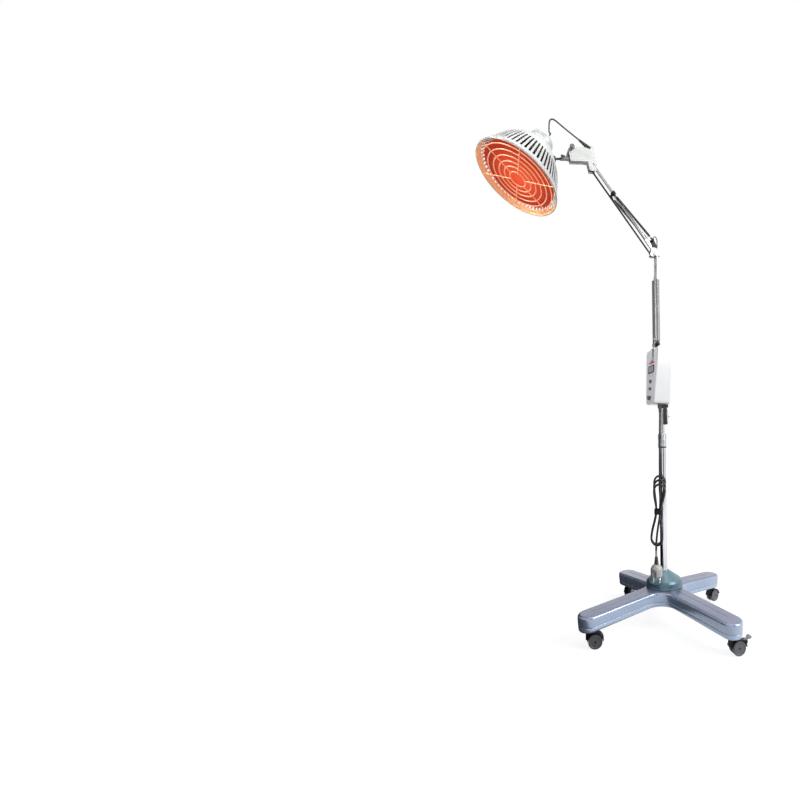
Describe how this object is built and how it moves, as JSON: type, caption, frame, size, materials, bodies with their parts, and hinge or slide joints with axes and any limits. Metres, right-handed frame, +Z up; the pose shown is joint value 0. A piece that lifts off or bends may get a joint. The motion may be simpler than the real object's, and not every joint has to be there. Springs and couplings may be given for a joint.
{
  "type": "infrared heat therapy lamp",
  "caption": "Floor-standing infrared heat lamp: caged dome head on a sprung folding arm, control box on a telescopic column, wheeled cross base, tied mains cord.",
  "frame": {"origin": "the point on the floor under the column's axis", "axes": "+Z up along the column; the arm reaches toward -X; the control box's panel faces -X"},
  "size_m": [0.7715, 0.5191, 1.4331],
  "materials": {
    "frame_iron": "black primed",
    "cover_enamel": "gloss lavender grey",
    "skirt_enamel": "gloss dark slate",
    "hub_enamel": "gloss blue grey",
    "tube_chrome": "polished",
    "collar_satin": "satin",
    "black_nylon": "black",
    "wheel_grey": "dark grey tread",
    "pedal_grey": "light grey",
    "plate_steel": "brushed",
    "box_white": "white",
    "panel_grey": "light grey",
    "display_dark": "smoked",
    "key_grey": "grey",
    "board_green": "circuit board",
    "arm_grey": "mid grey satin",
    "cable_grey": "grey",
    "elbow_cream": "cream",
    "upper_satin": "satin",
    "rod_dark": "dark grey",
    "spring_steel": "oiled wire",
    "boot_black": "black",
    "shade_silver": "pale satin",
    "guard_wire": "warm plated wire",
    "plate_glow": "glowing mineral face",
    "heater_clay": "fired clay",
    "dish_aluminium": "bright",
    "cord_black": "black",
    "plug_grey": "light beige grey"
  },
  "bodies": {
    "base": {"base_frame": "frame_iron", "base_cover": "cover_enamel", "base_skirt": "skirt_enamel", "hub_cone": "hub_enamel", "column_tube": "tube_chrome", "column_bush": "black_nylon"},
    "collar": {"lock_collar": "collar_satin"},
    "caster_1": {"caster_hood_1": "black_nylon"},
    "caster_2": {"caster_hood_2": "black_nylon"},
    "caster_3": {"caster_hood_3": "black_nylon"},
    "caster_4": {"caster_hood_4": "black_nylon"},
    "wheels_1": {"caster_wheels_1": "wheel_grey"},
    "wheels_2": {"caster_wheels_2": "wheel_grey"},
    "wheels_3": {"caster_wheels_3": "wheel_grey"},
    "wheels_4": {"caster_wheels_4": "wheel_grey"},
    "pedal": {"brake_pedal": "pedal_grey"},
    "mast": {"mast_tube": "tube_chrome"},
    "turret": {"clamp_block": "black_nylon", "clamp_plate": "plate_steel", "box_shell": "box_white", "front_panel": "panel_grey", "display_lens": "display_dark", "control_board": "board_green", "box_screws": "plate_steel", "arm_post": "plate_steel", "cord_gland": "boot_black", "foot_cable": "cable_grey", "cord_runs": "cord_black", "cord_hank": "cord_black", "cord_tie": "black_nylon", "plug": "plug_grey"},
    "clamp_screw": {"wing_screw": "plate_steel"},
    "key_up": {"button_up": "key_grey"},
    "key_down": {"button_down": "key_grey"},
    "fuse_cap": {"fuse_knob": "key_grey"},
    "lower_arm": {"foot_clevis": "arm_grey", "lower_tube": "tube_chrome", "lower_rod": "plate_steel", "spring_sleeve": "arm_grey", "arm_cable": "cable_grey", "elbow_plates": "elbow_cream", "elbow_cheeks": "black_nylon"},
    "foot_knob": {"pivot_knob": "black_nylon"},
    "upper_arm": {"upper_tube": "upper_satin", "spring_clip": "black_nylon", "upper_springs": "spring_steel"},
    "link": {"upper_rod": "rod_dark"},
    "bracket": {"bracket_plates": "elbow_cream", "cable_boot": "boot_black", "head_cable": "cable_grey"},
    "tilt_clamp": {"tilt_knob": "arm_grey"},
    "tilt": {"tilt_block": "arm_grey"},
    "head_clamp": {"thumb_screw": "key_grey"},
    "head": {"head_stem": "rod_dark", "neck_cap": "shade_silver", "shade_shell": "shade_silver", "wire_guard": "guard_wire", "mineral_plate": "plate_glow", "heater_core": "heater_clay", "reflector_dish": "dish_aluminium"}
  },
  "joints": [
    {"name": "caster_swivel_1", "type": "hinge", "parent": "base", "child": "caster_1", "pos_m": [-0.25303, -0.05981, 0.045], "axis": [0, 0, 1], "continuous": true},
    {"name": "wheel_roll_1", "type": "hinge", "parent": "caster_1", "child": "wheels_1", "pos_m": [-0.23799, -0.06529, 0.018], "axis": [0.342, 0.9397, 0], "continuous": true},
    {"name": "caster_swivel_2", "type": "hinge", "parent": "base", "child": "caster_2", "pos_m": [0.04022, -0.25687, 0.045], "axis": [0, 0, 1], "continuous": true},
    {"name": "wheel_roll_2", "type": "hinge", "parent": "caster_2", "child": "wheels_2", "pos_m": [0.05607, -0.2591, 0.018], "axis": [0.1392, 0.9903, 0], "continuous": true},
    {"name": "caster_swivel_3", "type": "hinge", "parent": "base", "child": "caster_3", "pos_m": [0.19617, 0.04818, 0.045], "axis": [0, 0, 1], "continuous": true},
    {"name": "wheel_roll_3", "type": "hinge", "parent": "caster_3", "child": "wheels_3", "pos_m": [0.21162, 0.05232, 0.018], "axis": [-0.2588, 0.9659, 0], "continuous": true},
    {"name": "caster_swivel_4", "type": "hinge", "parent": "base", "child": "caster_4", "pos_m": [-0.02951, 0.19983, 0.045], "axis": [0, 0, 1], "continuous": true},
    {"name": "wheel_roll_4", "type": "hinge", "parent": "caster_4", "child": "wheels_4", "pos_m": [-0.01725, 0.21012, 0.018], "axis": [-0.6428, 0.766, 0], "continuous": true},
    {"name": "brake_press", "type": "hinge", "parent": "caster_2", "child": "pedal", "pos_m": [0.07736, -0.26209, 0.03], "axis": [0.1392, 0.9903, 0], "range_deg": [0, 14]},
    {"name": "collar_twist", "type": "hinge", "parent": "base", "child": "collar", "pos_m": [0, 0, 0.52], "axis": [0, 0, 1], "range_deg": [-60, 60]},
    {"name": "mast_lift", "type": "slide", "parent": "base", "child": "mast", "axis": [0, 0, 1], "range_m": [0, 0.15]},
    {"name": "box_swivel", "type": "hinge", "parent": "mast", "child": "turret", "pos_m": [0, 0, 0.6], "axis": [0, 0, 1], "range_deg": [-60, 60]},
    {"name": "clamp_screw_turn", "type": "hinge", "parent": "turret", "child": "clamp_screw", "pos_m": [0.0168, 0, 0.601], "axis": [1, 0, 0], "range_deg": [-90, 90]},
    {"name": "up_press", "type": "slide", "parent": "turret", "child": "key_up", "axis": [0.9979, 0, -0.0646], "range_m": [0, 0.0012], "stiffness_N_per_m": 400},
    {"name": "down_press", "type": "slide", "parent": "turret", "child": "key_down", "axis": [0.9979, 0, -0.0646], "range_m": [0, 0.0012], "stiffness_N_per_m": 400},
    {"name": "fuse_turn", "type": "hinge", "parent": "turret", "child": "fuse_cap", "pos_m": [-0.03971, 0, 0.654], "axis": [-0.9979, 0, 0.0646], "range_deg": [0, 90]},
    {"name": "foot_pivot", "type": "hinge", "parent": "turret", "child": "lower_arm", "pos_m": [-0.018, 0, 0.819], "axis": [0, -1, 0], "range_deg": [-20, 40], "deforming": ["foot_cable"]},
    {"name": "foot_knob_turn", "type": "hinge", "parent": "lower_arm", "child": "foot_knob", "pos_m": [-0.018, -0.012, 0.819], "axis": [0, 1, 0], "range_deg": [-90, 90]},
    {"name": "elbow_pivot", "type": "hinge", "parent": "lower_arm", "child": "upper_arm", "pos_m": [-0.0205, 0, 1.117], "axis": [0, -1, 0], "range_deg": [-14, 50], "deforming": ["upper_springs"]},
    {"name": "link_swing", "type": "hinge", "parent": "lower_arm", "child": "link", "pos_m": [-0.0295, 0, 1.1015], "axis": [0, -1, 0], "range_deg": [-14, 50], "deforming": ["arm_cable"]},
    {"name": "wrist_pivot", "type": "hinge", "parent": "upper_arm", "child": "bracket", "pos_m": [-0.21664, 0, 1.33331], "axis": [0, -1, 0], "range_deg": [-50, 14]},
    {"name": "tilt_pivot", "type": "hinge", "parent": "bracket", "child": "tilt", "pos_m": [-0.28764, 0, 1.35381], "axis": [0, -1, 0], "range_deg": [-30, 30], "deforming": ["head_cable"]},
    {"name": "tilt_knob_turn", "type": "hinge", "parent": "bracket", "child": "tilt_clamp", "pos_m": [-0.28764, -0.016, 1.35381], "axis": [0, 1, 0], "range_deg": [-90, 90]},
    {"name": "head_twist", "type": "hinge", "parent": "tilt", "child": "head", "pos_m": [-0.29414, 0, 1.32781], "axis": [-0.9508, 0, -0.3099], "range_deg": [-60, 60]},
    {"name": "head_clamp_turn", "type": "hinge", "parent": "tilt", "child": "head_clamp", "pos_m": [-0.31221, -0.01, 1.32192], "axis": [0, 1, 0], "range_deg": [-90, 90]}
  ],
  "couplings": [
    {"joint": "link_swing", "follows": "elbow_pivot", "ratio": 1},
    {"joint": "wrist_pivot", "follows": "elbow_pivot", "ratio": -1}
  ]
}
